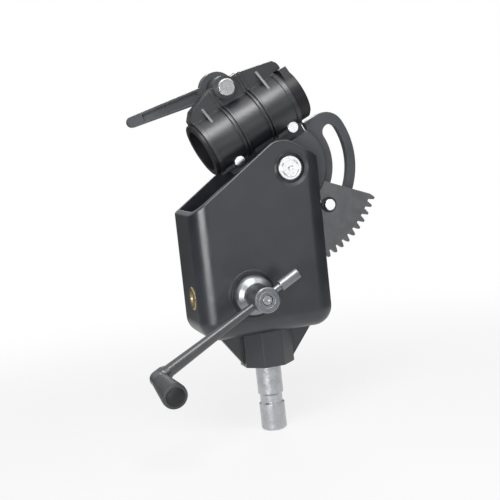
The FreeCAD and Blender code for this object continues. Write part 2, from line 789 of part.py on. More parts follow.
def make_crank_shaft():
    """The crank shaft with its bearings, brake drum and small gear."""
    at_crank = ("crank_x", "0", "crank_z")
    flange_top = "half_depth + bearing_height"
    bearing_end = f"{flange_top} + bearing_nose_height"
    bore = "shaft_radius + run_gap"
    drum_front = "crank_boss_reach - seat_gap"
    drum_back = f"{drum_front} - drum_length"
    turned("crank_bearing", [
        (bore, "crank_boss_reach"), ("bearing_sleeve", "crank_boss_reach"), ("bearing_sleeve", "half_depth"),
        ("bearing_flange", "half_depth"), ("bearing_flange", "half_depth + bearing_base", "bearing_round"),
        ("bearing_nose + bearing_step", f"{flange_top} + bearing_step", "bearing_hollow"),
        ("bearing_nose", f"{bearing_end} - 1"), ("bearing_nose", bearing_end), (bore, bearing_end)],
        at_crank, facing(FRONT))
    turned("crank_shaft", [
        ("0", "-(half_depth - 2)"), ("pinion_seat", "-(half_depth - 2)"),
        ("pinion_seat", f"{drum_back} - 1"), ("shaft_radius", f"{drum_back} - 1"),
        ("shaft_radius", f"{bearing_end} + hub_socket"),
        ("hub_screw + run_gap", f"{bearing_end} + hub_socket"),
        ("hub_screw + run_gap", f"{bearing_end} + hub_socket - hub_screw_grip - 2"),
        ("0", f"{bearing_end} + hub_socket - hub_screw_grip - 2")], at_crank, facing(FRONT))
    sleeve("brake_drum", "shaft_radius", "drum_radius", drum_back, drum_front, at_crank, facing(FRONT))
    sleeve("crank_bush_rear", "pinion_seat + run_gap", "crank_rear_bush", "cover_boss_face", "half_depth - 1",
           at_crank, facing(BACK))


def gear_points(module, teeth, shift, first, count):
    """Involute tooth flanks, as points about the origin, for teeth from an angle on."""
    alpha = math.radians(value("pressure_angle"))
    pitch = module * teeth / 2
    base = pitch * math.cos(alpha)
    tip = pitch + module * (1 + shift)
    root = pitch - module * (1.25 - shift)
    thinned = value("tooth_thinning") / (2 * pitch)
    spread = math.pi / (2 * teeth) + 2 * shift * math.tan(alpha) / teeth - thinned
    start = max(base, root)
    radii = [start + (tip - start) * step / 3 for step in range(4)]
    flank = [(radius, spread + involute(alpha) - involute(math.acos(base / radius))) for radius in radii]
    if root < start:
        flank.insert(0, (root, flank[0][1]))
    points = []
    for number in range(count):
        middle = first + number * 2 * math.pi / teeth
        points += [(radius, middle - angle) for radius, angle in flank]
        points += [(radius, middle + angle) for radius, angle in reversed(flank)]
    return [Vector(radius * math.cos(angle), 0, radius * math.sin(angle)) for radius, angle in points]


def involute(angle):
    return math.tan(angle) - angle


def slab(points, low, high):
    """A flat piece with a straight-sided outline, between two Y values."""
    wire = Part.Wire([Part.LineSegment(a, b).toShape() for a, b in zip(points, points[1:] + points[:1])])
    face = Part.Face(wire)
    face.translate(Vector(0, low, 0))
    return face.extrude(Vector(0, high - low, 0))


def rod(radius, low, high, x=0.0, z=0.0):
    """A round bar along Y."""
    return Part.makeCylinder(radius, high - low, Vector(x, low, z), BACK)


def solid_part(label, shape, base):
    """A sub-part whose shape no feature makes directly, such as a toothed wheel."""
    item = DOC.addObject("Part::Feature", label)
    item.Shape = shape
    place(item, base)
    return keep(item, label)


def heading(start, end):
    """The direction from one axis to another, in radians from +X towards +Z."""
    return math.atan2(end.z - start.z, end.x - start.x)


def make_gears():
    """The toothed wheels, all in mesh at rest."""
    pivot = Vector(value("pivot_across"), 0, value("pivot_height"))
    crank = Vector(value("crank_x"), 0, value("crank_z"))
    module, teeth = value("sector_module"), round(value("sector_teeth"))
    small = round(value("pinion_teeth"))
    shift = value("tooth_shift")
    step = 2 * math.pi / teeth
    # The sector: its first tooth's corner is where the upper edge meets the teeth
    first_corner = -math.radians(value("sector_start"))
    count = round(value("sector_cut_teeth"))
    trial = gear_points(module, teeth, -shift, 0.0, 1)
    tip_half = math.atan2(abs(trial[3].z), trial[3].x)
    first = first_corner - tip_half
    rim = gear_points(module, teeth, -shift, first - (count - 1) * step, count)
    inner, low = value("sector_inner"), -value("web / 2 + sector_thick")
    high = -value("web / 2")
    angles = [first + step * 0.1 - index * ((count - 0.8) * step) / 24 for index in range(25)]
    arc = [Vector(inner * math.cos(angle), 0, inner * math.sin(angle)) for angle in angles]
    shape = slab(rim + arc, low, high)
    for x, z in screw_circle():
        shape = shape.cut(rod(value("sector_screw + run_gap"), low - 1, high + 1, x, z))
    solid_part("gear_sector", shape, ("pivot_across", "0", "pivot_height"))
    # The pinion that drives it: a gap faces the sector's nearest tooth
    line = heading(pivot, IDLER)
    near = round((first - line) / step)
    offset = first - near * step - line
    pinion_first = line + math.pi - offset * teeth / small + math.pi / small
    pinion = slab(gear_points(module, small, shift, pinion_first, small), low - value("pinion_overhang"),
                  high + value("pinion_overhang"))
    hub = rod(value("idler_hub"), high + value("pinion_overhang"), value("wheel_front"))
    bore = rod(value("idler_radius"), low - 10, value("wheel_front") + 1)
    solid_part("idler_pinion", pinion.fuse(hub).cut(bore), (IDLER_X, "0", IDLER_Z))
    # The wheel on the same shaft and the crank's own pinion
    fine, big = value("wheel_module"), round(value("wheel_teeth"))
    line = heading(IDLER, crank)
    low, high = value("wheel_front"), value("wheel_front + wheel_thick")
    wheel = slab(gear_points(fine, big, -shift, line, big), low, high)
    wheel = wheel.cut(rod(value("idler_radius"), low - 1, high + 1))
    for number in range(6):
        angle = line + number * math.pi / 3
        spot = value("wheel_hole_circle")
        across, up = spot * math.cos(angle), spot * math.sin(angle)
        wheel = wheel.cut(rod(value("wheel_hole"), low - 1, high + 1, across, up))
    solid_part("idler_wheel", wheel, (IDLER_X, "0", IDLER_Z))
    overhang = value("crank_pinion_overhang")
    pinion = slab(gear_points(fine, small, shift, line + math.pi + math.pi / small, small), low - overhang,
                  high + overhang)
    bore = rod(value("pinion_seat"), low - 2 * overhang, high + 2 * overhang)
    solid_part("crank_pinion", pinion.cut(bore), ("crank_x", "0", "crank_z"))


def screw_circle():
    """Where the sector's screws lie about the pivot."""
    radius = value("sector_screw_circle")
    angles = [-math.radians(value(f"sector_screw_first + {n} * sector_screw_step")) for n in range(3)]
    return [(radius * math.cos(angle), radius * math.sin(angle)) for angle in angles]


def make_idler():
    """The idler shaft and its two bushes."""
    at_idler = (IDLER_X, "0", IDLER_Z)
    sleeve("idler_bush_front", "idler_radius + run_gap", "idler_bush", "idler_boss_reach", "inner_half",
           at_idler, facing(FRONT))
    sleeve("idler_bush_rear", "idler_radius + run_gap", "idler_bush", "cover_boss_face", "half_depth - 1",
           at_idler, facing(BACK))
    turned("idler_shaft", [
        ("0", "-(inner_half - 1)"), ("idler_radius", "-(inner_half - 1)"),
        ("idler_radius", "half_depth - 2"), ("0", "half_depth - 2")], at_idler, facing(BACK))


def make_brake():
    """The brake: an adjusting plug in the wall presses a shoe on the crank's drum."""
    at_wall = ("case_x0", "-brake_across", "crank_z")
    turned("brake_plug", [
        ("0", "-brake_plug_proud + 2"), ("4", "-brake_plug_proud + 2"), ("5", "-brake_plug_proud"),
        ("brake_plug - 1.2", "-brake_plug_proud"), ("brake_plug", "1.2 - brake_plug_proud"),
        ("brake_plug", "brake_plug_length"), ("0", "brake_plug_length")], at_wall, facing(RIGHT))
    drum_edge = "crank_x - case_x0 - drum_radius"
    shoe_back = f"{drum_edge} - brake_shoe_length"
    spring = f"({shoe_back} - brake_plug_length) / 4"
    rows = [f"brake_plug_length + {number} * {spring}" for number in range(5)]
    discs = [("brake_spring_bore", f"{rows[0]} + 0.2"), ("brake_spring", rows[1]),
             ("brake_spring_bore", rows[2]),
             ("brake_spring", rows[3]), ("brake_spring_bore", f"{rows[4]} - 1.4")]
    back = [(radius, f"{row} + 1.2") for radius, row in reversed(discs)]
    turned("brake_spring", discs + back, at_wall, facing(RIGHT))
    shoe_front = f"{drum_edge} + brake_shoe_wrap"
    shoe = turned("brake_shoe", [("0", shoe_back), ("brake_shoe", shoe_back), ("brake_shoe", shoe_front),
                                 ("0", shoe_front)], at_wall, facing(RIGHT))
    cut(shoe, "XZ_Plane", "-brake_shoe - 1", "brake_shoe + 1",
        circles([("0", "crank_x - case_x0", "drum_radius + run_gap")]))


def make_bracket():
    """The tilting bracket: slotted quadrant plate, hub and the tongue under the clamp."""
    body = new_body("tilt_bracket")
    half = "web / 2"
    add(body, "XZ_Plane", f"-{half}", half, circles([("0", "0", "plate_radius")]))
    spare = [("0", "plate_top"), (FAR, "plate_top"), (FAR, FAR), (f"-{FAR}", FAR),
             (f"-{FAR}", f"-{FAR} * tan(plate_end * 1deg)"), ("0", "0")]
    cut(body, "XZ_Plane", f"-{half}", half, loop(spare))
    ease(body, "Fillet", plate_corner, "plate_round")
    add(body, "XZ_Plane", "-hub_half", "hub_half", circles([("0", "0", "hub_radius")]))
    cut(body, "XZ_Plane", "-hub_half", "hub_half", box("-hub_radius", "hub_radius", "hub_flat", FAR))
    tongue = [("-tongue_left + 14", "0"), ("-tongue_left", "foot_bottom - 2"), ("-tongue_left", "tongue_top"),
              ("tongue_right", "tongue_top"), ("tongue_right + 12", "plate_top"), ("tongue_right + 12", "0")]
    add(body, "XZ_Plane", f"-{half}", half, loop(tongue))
    cut(body, "XZ_Plane", f"-{half}", half, ring_part("slot_inner", "slot_outer", "-slot_to", "slot_from"))
    middle, width = "(slot_inner + slot_outer) / 2", "(slot_outer - slot_inner) / 2"
    ends = [(f"{middle} * cos({angle} * 1deg)", f"{middle} * sin({angle} * 1deg)", width)
            for angle in ("slot_from", "slot_to * -1")]
    cut(body, "XZ_Plane", f"-{half}", half, circles(ends))
    cut(body, "XZ_Plane", "-hub_half", "hub_half", circles([("0", "0", "pivot_bush + run_gap")]))
    screws = circles([(u, v, "jaw_screw + run_gap") for u, v in jaw_screw_places()])
    cut(body, "XZ_Plane", f"-{half}", half, screws)
    holes = []
    for number in range(3):
        angle = f"(sector_screw_first + {number} * sector_screw_step + rest_tilt) * 1deg"
        holes.append((f"sector_screw_circle * cos({angle})", f"-sector_screw_circle * sin({angle})",
                      "sector_screw + run_gap"))
    cut(body, "XZ_Plane", f"-{half}", half, circles(holes))
    place(body, ("pivot_across", "0", "pivot_height"), tilt_turn())


def plate_corner(edge):
    """Whether an edge is the corner between the plate's flat top and its round rim."""
    across = math.sqrt(value("plate_radius") ** 2 - value("plate_top") ** 2)
    middle = edge.BoundBox.Center
    return middle.distanceToPoint(Vector(across, 0, value("plate_top"))) < EPSILON


def make_sector_screws():
    """The screws and dark washers that hold the sector to the plate."""
    spots = []
    for number in range(3):
        angle = f"(sector_screw_first + {number} * sector_screw_step) * 1deg"
        spots.append((f"pivot_across + sector_screw_circle * cos({angle})", "-(web / 2 + sector_thick)",
                      f"pivot_height - sector_screw_circle * sin({angle})"))

    def washer(label, spot):
        return sleeve(label, "sector_screw + run_gap", "sector_washer", "0", "sector_washer_thick",
                      spot, facing(FRONT))

    def screw(label, spot):
        profile = headed("sector_screw", "web + sector_thick + sector_washer_thick",
                         "sector_screw_head", "sector_screw_head_height")
        return turned(label, profile, (spot[0], f"{spot[1]} - sector_washer_thick", spot[2]), facing(FRONT))

    repeated("sector_washers", washer, spots)
    repeated("sector_screws", screw, spots)


def jaw_screw_places():
    return [("-jaw_screw_left", "jaw_screw_up"), ("jaw_screw_right", "jaw_screw_up")]


def jaw_profile():
    """One side of the clamp's barrel, turned about the tube: (distance along, radius)."""
    points = [("-jaw_left", "tube_radius"), ("-jaw_left", "jaw_ring"), ("-jaw_left + jaw_end", "jaw_ring"),
              ("-jaw_left + jaw_end", "jaw_radius")]
    for middle in ("-rib_pair_left", "rib_pair_right"):
        for side in ("-1", "1"):
            inner = f"{middle} + {side} * rib_pair_gap / 2"
            outer = f"{middle} + {side} * (rib_pair_gap / 2 + rib_width)"
            first, last = (outer, inner) if side == "-1" else (inner, outer)
            points += [(first, "jaw_radius"), (first, "jaw_rib"), (last, "jaw_rib"), (last, "jaw_radius")]
    points += [("jaw_right - jaw_end", "jaw_radius"), ("jaw_right - jaw_end", "jaw_ring"),
               ("jaw_right", "jaw_ring"), ("jaw_right", "tube_radius")]
    return points


def make_jaw(label, side):
    """One half of the tube clamp; side is -1 in front and 1 behind."""
    body = new_body(label)
    sketch = sketch_on(body, "XZ_Plane", "0")
    loop(jaw_profile())(sketch)
    barrel = body.newObject("PartDesign::Revolution", "Barrel")
    barrel.Profile = sketch
    barrel.ReferenceAxis = (sketch, ["H_Axis"])
    barrel.Angle = 360
    DOC.recompute()

    def span(near, far):
        """Low and high Y for a stretch between two distances from the split."""
        return (f"-({far})", f"-({near})") if side < 0 else (near, far)

    def foot(extra="0"):
        return f"web / 2 + foot_thick + {extra}"

    cut(body, "XZ_Plane", *(("-jaw_gap / 2", FAR) if side < 0 else (f"-{FAR}", "jaw_gap / 2")),
        box(f"-{FAR}", FAR, f"-{FAR}", FAR))
    ridge = [("-jaw_left", "ridge_root"), ("-jaw_left", "ridge_left"), ("-jaw_left + 7", "ridge_left + 8"),
             ("-rib_pair_left", "ridge_peak"), ("rib_pair_right", "ridge_peak"), ("ridge_end", "ridge_right"),
             ("ridge_end + 3.5", "ridge_right - 4"), ("ridge_end + 4.8", "ridge_right - 8"),
             ("ridge_end + 4.8", "liner_flange + 1"), ("jaw_right", "liner_flange + 1"),
             ("jaw_right", "ridge_root")]
    face = "jaw_gap / 2 + flange_thick"
    add(body, "XZ_Plane", *span("jaw_gap / 2", face), loop(ridge))
    add(body, "XZ_Plane", *span("jaw_gap / 2", f"{face} + clamp_boss_height"),
        circles([("-clamp_bolt_back", "clamp_bolt_up", "clamp_boss")]))
    foot_low, foot_high = "foot_bottom - tube_height", "foot_bottom - tube_height + 14"
    add(body, "XZ_Plane", *span("jaw_gap / 2", foot()), box("-jaw_left", "jaw_right", foot_low, foot_high))
    for middle, top in (("-jaw_rib_left", "ridge_left + 6"), ("jaw_rib_right", "ridge_right + 1")):
        web = [(f"{side} * ({face} - 1)", top), (f"{side} * (jaw_radius - 4)", "jaw_gusset_root"),
               (f"{side} * ({face} - 1)", "jaw_gusset_root")]
        add(body, "YZ_Plane", f"{middle} - gusset_web / 2", f"{middle} + gusset_web / 2", loop(web))
    for middle, top in (("-rib_pair_left", "ridge_peak - 1.2"), ("rib_pair_right", "ridge_peak")):
        rib = [(f"{side} * ({face} - 1)", top), (f"{side} * ({face} + ridge_rib)", f"{top} - ridge_rib"),
               (f"{side} * ({face} + ridge_rib)", "jaw_radius - 4"),
               (f"{side} * ({face} - 1)", "jaw_radius - 4")]
        for way in ("-1", "1"):
            inner = f"{middle} + {way} * rib_pair_gap / 2"
            outer = f"{middle} + {way} * (rib_pair_gap / 2 + rib_width)"
            add(body, "YZ_Plane", *((outer, inner) if way == "-1" else (inner, outer)), loop(rib))
    if side < 0:
        add(body, "XZ_Plane", *span(foot("-1"), foot("pad_height")),
            box("-pad_left", "pad_right", f"{foot_low} + 1", f"{foot_low} + 8"))
    cut(body, "XZ_Plane", *span("0", "web / 2"), box(f"-{FAR}", FAR, f"-{FAR}", "-ridge_root"))
    cut(body, "YZ_Plane", f"-{FAR}", FAR, circles([("0", "0", "tube_radius + tube_relief")]))
    seat = circles([("0", "0", "tube_radius + liner_wall + run_gap")])
    cut(body, "YZ_Plane", "-jaw_left - 1", "-jaw_left + liner_length", seat)
    cut(body, "YZ_Plane", "jaw_right - liner_length", "jaw_right + 1", seat)
    shank = circles([("-clamp_bolt_back", "clamp_bolt_up", "clamp_shank + run_gap")])
    cut(body, "XZ_Plane", *span("0", FAR), shank)
    holes = [(u, f"{v} - tube_height") for u, v in jaw_screw_places()]
    cut(body, "XZ_Plane", *span("0", FAR), circles([(u, w, "jaw_screw + run_gap") for u, w in holes]))
    heads = circles([(u, w, "jaw_screw_head + seat_gap") for u, w in holes])
    cut(body, "XZ_Plane", *span(foot(), FAR), heads)
    place(body, tilted("0", "0", "tube_height"), tilt_turn())
    return body


def make_liner(label, seat, turn, lip, collar):
    """A split, flanged liner that grips the tube at one end of the clamp."""
    inner_end = "-liner_length + seat_gap"
    profile = [("tube_radius", inner_end), ("tube_radius + liner_wall", inner_end),
               ("tube_radius + liner_wall", "0"), ("liner_flange", "0"), ("liner_flange", lip),
               (f"liner_flange - {collar}", lip), (f"liner_flange - {collar}", f"{lip} + {collar}"),
               ("tube_radius", f"{lip} + {collar}")]
    body = turned(label, profile, tilted(seat, "0", "tube_height"), tilt_turn() * turn)
    cut(body, "YZ_Plane", "0", FAR, box("-liner_slit / 2", "liner_slit / 2", "-liner_length - 1", FAR))
    return body


def make_clamp():
    """The clamp's jaws, liners, screws and bolt."""
    make_jaw("front_jaw", -1)
    make_jaw("rear_jaw", 1)
    up = FreeCAD.Rotation(UP, 180)
    make_liner("left_liner", "-jaw_left", facing(Vector(-1, 0, 0)), "liner_lip", "0.8")
    collar = make_liner("right_liner", "jaw_right", facing(RIGHT) * up, "collar_length", "2.0")
    tab = [("tab_up", "tab_front"), ("liner_flange - 0.4", "liner_slit / 2 + 1"),
           ("tube_radius * cos(45deg) + 1.2", "tube_radius * cos(45deg) + 1.2"),
           ("-1.5", "liner_flange - 0.2")]
    add(collar, "XY_Plane", "liner_lip", "collar_length", loop(tab))

    def screw(label, spot):
        profile = headed("jaw_screw", "web + 2 * foot_thick + jaw_nut_height", "jaw_screw_head",
                         "jaw_screw_head_height")
        return turned(label, profile, tilted(spot[0], "-(web / 2 + foot_thick)", spot[1]), facing(FRONT))

    def back_nut(label, spot):
        return nut(label, "jaw_nut", "jaw_screw + run_gap", "jaw_nut_height",
                   tilted(spot[0], "web / 2 + foot_thick", spot[1]), facing(BACK))

    repeated("jaw_screws", screw, jaw_screw_places())
    repeated("jaw_nuts", back_nut, jaw_screw_places())
    face = "jaw_gap / 2 + flange_thick + clamp_boss_height"
    at_bolt = bolt_place("0")
    bolt = turned("clamp_bolt", [
        ("0", f"-({face} + clamp_washer + lever_hub_height)"),
        ("clamp_shank", f"-({face} + clamp_washer + lever_hub_height)"), ("clamp_shank", face),
        ("clamp_head", face), ("clamp_head", f"{face} + clamp_head_height - 1"),
        ("clamp_head - 1", f"{face} + clamp_head_height"), ("0", f"{face} + clamp_head_height")],
        at_bolt, facing(FRONT))
    sleeve("clamp_washer", "clamp_shank + run_gap", "clamp_boss - 1",
           face, f"{face} + clamp_washer - face_gap",
           at_bolt, facing(BACK))
    return bolt


def bolt_place(across):
    return tilted("-clamp_bolt_back", across, "tube_height + clamp_bolt_up")


def make_lever():
    """The clamping lever: a hub with a tapered arm of I section, and its steel insert."""
    face = "jaw_gap / 2 + flange_thick + clamp_boss_height + clamp_washer"
    body = new_body("clamp_lever")
    arm_low, arm_high = "(lever_hub_height - lever_thick) / 2", "(lever_hub_height + lever_thick) / 2"
    tip = "lever_length - lever_tip"
    add(body, "XZ_Plane", "0", "lever_hub_height", circles([("0", "0", "lever_hub")]))
    add(body, "XZ_Plane", arm_low, arm_high, loop([
        ("0", "-lever_root"), (tip, "-lever_tip"), (tip, "lever_tip"), ("0", "lever_root")]))
    add(body, "XZ_Plane", arm_low, arm_high, circles([(tip, "0", "lever_tip")]))
    start, end = "lever_hub + 3", "lever_length - 3 * lever_tip"
    recess = loop([(start, "-lever_root + lever_rim + 0.6"), (end, "-lever_tip + lever_rim"),
                   (end, "lever_tip - lever_rim"), (start, "lever_root - lever_rim - 0.6")])
    cut(body, "XZ_Plane", arm_low, f"{arm_low} + lever_recess", recess)
    cut(body, "XZ_Plane", f"{arm_high} - lever_recess", arm_high, recess)
    cut(body, "XZ_Plane", "0", "lever_hub_height", circles([("0", "0", "lever_insert + run_gap")]))
    turn = FreeCAD.Rotation(BACK, -(180 + value("lever_droop")))
    place(body, bolt_place(face), turn)
    sleeve("lever_insert", "clamp_shank + run_gap", "lever_insert", "0", "lever_hub_height",
           bolt_place(face), facing(BACK))


def make_handle():
    """The crank's hub, arm, balance knob and turning grip."""
    bearing_end = "half_depth + bearing_height + bearing_nose_height"
    arm_out = "half_depth + arm_reach"
    at_crank = ("crank_x", "0", "crank_z")
    low, high = f"{bearing_end} + seat_gap", f"{bearing_end} + seat_gap + crank_hub_length"
    bore, shaft_end = "shaft_radius + run_gap", f"{bearing_end} + hub_socket"
    screw_hole = "hub_screw + run_gap"
    arm_turn = FreeCAD.Rotation(UP, value("arm_angle"))
    hub = turned("crank_hub", [
        (bore, low), ("hub_waist", low), ("hub_waist", f"{low} + 6"), ("crank_hub", f"{low} + 10"),
        ("crank_hub", f"{high} - 1.2"), ("crank_hub - 1.2", high), ("hub_screw_head + seat_gap", high),
        ("hub_screw_head + seat_gap", f"{high} - hub_screw_sink"), (screw_hole, f"{high} - hub_screw_sink"),
        (screw_hole, shaft_end), (bore, shaft_end)],
        at_crank, facing(FRONT) * arm_turn)
    cut(hub, "YZ_Plane", "shaft_radius", "crank_hub + 1", circles([("0", arm_out, "arm_thin + run_gap")]))
    cut(hub, "YZ_Plane", "-crank_hub - 1", "-shaft_radius", circles([("0", arm_out, "knob_neck + run_gap")]))
    head_low = f"{high} - hub_screw_sink"
    head_high = f"{head_low} + hub_screw_head_height"
    turned("hub_screw", [
        ("0", f"{shaft_end} - hub_screw_grip"), ("hub_screw", f"{shaft_end} - hub_screw_grip"),
        ("hub_screw", head_low), ("hub_screw_head", head_low), ("hub_screw_head", f"{head_high} - 0.6"),
        ("hub_screw_head - 0.6", head_high), ("hub_screw_key", head_high),
        ("hub_screw_key", f"{head_high} - hub_screw_key_depth"), ("0", f"{head_high} - hub_screw_key_depth")],
        at_crank, facing(FRONT))
    angle, lean = math.radians(value("arm_angle")), math.radians(value("grip_lean"))
    along = Vector(math.cos(angle), 0, math.sin(angle))
    outward = Vector(-math.sin(lean) * along.z, -math.cos(lean), math.sin(lean) * along.x)
    at_arm = ("crank_x", f"-({arm_out})", "crank_z")
    arm = turned("crank_arm", [
        ("0", "shaft_radius + 0.4"), ("arm_thin", "shaft_radius + 0.4"), ("arm_thin", "crank_hub + 1"),
        ("arm_thick", "arm_length - 14"), ("arm_elbow", "arm_length - 8", "5"),
        ("arm_elbow", "arm_length + arm_elbow", "arm_elbow - 0.4"), ("0", "arm_length + arm_elbow")],
        at_arm, facing(along) * FreeCAD.Rotation(UP, -value("grip_lean")))
    add(arm, "XZ_Plane", "-elbow_reach", "0", circles([("0", "arm_length", "arm_elbow")]))
    cut(arm, "XZ_Plane", "-elbow_reach", "6", circles([("0", "arm_length", "grip_spindle + run_gap")]))
    turned("arm_knob", [
        ("0", "shaft_radius + 0.4"), ("knob_neck", "shaft_radius + 0.4"),
        ("knob_neck", "crank_hub + knob_neck_length"),
        ("knob_radius", "crank_hub + knob_neck_length", "1"),
        ("knob_radius", "crank_hub + knob_neck_length + knob_length", "1.5"),
        ("0", "crank_hub + knob_neck_length + knob_length")], at_arm, facing(along * -1))
    turn = "arm_angle * 1deg"
    at_grip = (f"crank_x + arm_length * cos({turn})", f"-({arm_out})", f"crank_z + arm_length * sin({turn})")
    inner, outer = "elbow_reach + seat_gap", "elbow_reach + seat_gap + grip_length"
    head = f"{outer} - grip_cap_depth - 4"
    turned("grip_spindle", [
        ("0", "-6"), ("grip_spindle", "-6"), ("grip_spindle", head), ("grip_cap - 2", head),
        ("grip_cap - 2", f"{head} + 3.4"), ("0", f"{head} + 3.4")], at_grip, facing(outward))
    grip_bore = "grip_spindle + run_gap"
    turned("crank_grip", [
        (grip_bore, inner), ("grip_root", inner, "1.5"), ("grip_radius - 0.7", f"{outer} - 12", "40"),
        ("grip_radius", f"{outer} - 5", "5"), ("grip_radius - 0.4", outer, "2"),
        ("grip_cap + run_gap", outer), ("grip_cap + run_gap", f"{head} - seat_gap"),
        (grip_bore, f"{head} - seat_gap")], at_grip, facing(outward))
    turned("grip_cap", [
        ("0", f"{head} + 3.8"), ("grip_cap", f"{head} + 3.8"), ("grip_cap", f"{outer} + 0.8", "2"),
        ("grip_cap * 0.55", f"{outer} + 2.6", "6"), ("0", f"{outer} + 3")], at_grip, facing(outward))


def check_and_write():
    """Writes each sub-part after checking that every object came out right."""
    DOC.recompute()
    for item in DOC.Objects:
        if "Invalid" in item.State or "Error" in item.State:
            raise ValueError(f"{item.Label} failed: {item.State}")
    os.makedirs("parts", exist_ok=True)
    for node in NODES:
        shape = node.Shape
        if shape.isNull() or not shape.isValid() or not shape.Solids:
            raise ValueError(f"{node.Label} has no valid solid")
        shape.exportStep(f"parts/{node.Label}.step")
        print(f"{node.Label}: {len(shape.Solids)} solid(s), {shape.Volume / 1000:.1f} cm3")


make_case()
make_cover()
make_spigot()
make_pivot()
make_crank_shaft()
make_idler()
make_gears()
make_brake()
make_bracket()
make_sector_screws()
make_clamp()
make_lever()
make_handle()
check_and_write()
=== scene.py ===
import json
import math

import bpy
import numpy as np
from mathutils import Matrix, Vector


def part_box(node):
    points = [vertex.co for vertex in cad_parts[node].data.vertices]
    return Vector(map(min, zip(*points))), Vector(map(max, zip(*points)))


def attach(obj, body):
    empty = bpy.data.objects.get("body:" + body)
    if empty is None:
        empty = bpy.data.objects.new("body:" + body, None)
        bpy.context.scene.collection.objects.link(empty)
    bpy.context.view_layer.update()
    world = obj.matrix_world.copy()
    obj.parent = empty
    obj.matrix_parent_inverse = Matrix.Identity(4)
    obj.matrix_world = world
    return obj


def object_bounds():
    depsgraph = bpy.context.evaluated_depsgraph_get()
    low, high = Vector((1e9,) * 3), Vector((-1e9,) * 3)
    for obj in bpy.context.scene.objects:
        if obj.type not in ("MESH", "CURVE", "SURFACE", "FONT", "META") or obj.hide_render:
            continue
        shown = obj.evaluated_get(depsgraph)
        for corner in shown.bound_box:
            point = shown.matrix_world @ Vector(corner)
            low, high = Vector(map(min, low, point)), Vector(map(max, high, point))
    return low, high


bl_info = {
    "name": "Geared Tilt Head",
    "version": (1, 0, 0),
    "blender": (4, 5, 0),
    "location": "3D View > Sidebar > Geared Head",
    "description": "Finishes and small parts of a crank-driven tilt head with a tube clamp",
    "category": "Object",
}

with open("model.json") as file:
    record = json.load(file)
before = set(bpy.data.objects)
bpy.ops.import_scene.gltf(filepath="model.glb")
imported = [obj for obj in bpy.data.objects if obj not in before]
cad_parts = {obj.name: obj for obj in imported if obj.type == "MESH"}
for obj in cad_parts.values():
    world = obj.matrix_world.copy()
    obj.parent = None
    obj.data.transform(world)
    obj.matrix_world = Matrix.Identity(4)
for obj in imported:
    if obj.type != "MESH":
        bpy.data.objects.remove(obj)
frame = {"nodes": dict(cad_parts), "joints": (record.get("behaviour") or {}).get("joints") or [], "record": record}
NODES = frame["nodes"]
CAD_BOUNDS = [list(corner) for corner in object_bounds()]
MM = 0.001
FORWARD = (0.0, -1.0, 0.0)
LEFTWARD = (-1.0, 0.0, 0.0)
BODIES = frame["record"]["behaviour"]["bodies"]
BODY_OF = {node: body for body, nodes in BODIES.items() for node in nodes}


def joint_place(name):
    """Where a joint's axis passes, and its direction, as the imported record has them."""
    joint = next(j for j in frame["joints"] if j["name"] == name)
    return Vector(joint["pos_m"]), Vector(joint["axis"])


# Places of the node outputs that are read: object coordinates, a direction in the world, a surface's
# normal, the number that a vector operation gives, and a mixed colour
OBJECT_PLACE, WORLD_WAY, NORMAL, NUMBER, MIXED_COLOUR = 3, 0, 1, 1, 2

# Soft edges: samples of the rounded normal, and the cosine between it and the flat normal, from where an
# edge counts as rubbed to where it doesn't show
EDGE_SAMPLES = 6
EDGE_COSINES = (0.72, 0.985)
BARE_METAL = (0.2, 0.205, 0.21)
WHITE = (1.0, 1.0, 1.0)

# The studio. The world lights the object by AMBIENT. The floor is whitened by FLOOR_LIFT for the camera and
# for mirrors, and gives way to the backdrop between the distances FLOOR_FADE. Mirrors see the backdrop white
# towards OPEN_SIDE, which is overhead, and by ROOM_DIM away from it, between the cosines OPEN_COSINES.
AMBIENT = 0.08
FLOOR_LIFT = 0.8
FLOOR_FADE = (0.3, 0.95)
FLOOR_REACH = 3.0
FLOOR_SIDES = 96
FLOOR_GAP = 0.5 * MM
ROOM_DIM = 0.05
OPEN_SIDE = (-0.10, 0.10, 0.99)
OPEN_COSINES = (0.0, 0.8)
SENSOR_WIDTH = 36.0
CLIPPING = (0.05, 50.0)

# The soft lamps: name, azimuth, elevation, distance, width, height, radiance
LAMPS = (
    ("SideLamp", -37.0, 3.0, 1.3, 0.80, 0.56, 8.5),
    ("FrontLamp", 17.0, 0.0, 1.5, 0.80, 0.36, 1.5),
    ("FillLamp", 40.0, 40.0, 1.5, 0.60, 0.50, 3.0),
    ("TopLamp", -14.0, 54.0, 1.25, 0.80, 0.50, 8.5),
    ("BackLamp", 160.0, 28.0, 1.6, 0.80, 0.60, 4.5),
)

PIVOT, PIVOT_AXIS = joint_place("tilt")
CRANK, CRANK_AXIS = joint_place("crank_turn")
# The clamp's lean at rest, which the grinding marks on the sector follow
REST_TILT = math.radians(25.2)


def outward(turn, rise):
    """The direction away from the object at this angle from the front and this height above the horizon."""
    return Vector((math.sin(turn) * math.cos(rise), -math.cos(turn) * math.cos(rise), math.sin(rise)))


def shade(colour, share):
    """The colour made darker or lighter by this share, at most white."""
    return tuple(min(1.0, share * level) for level in colour)


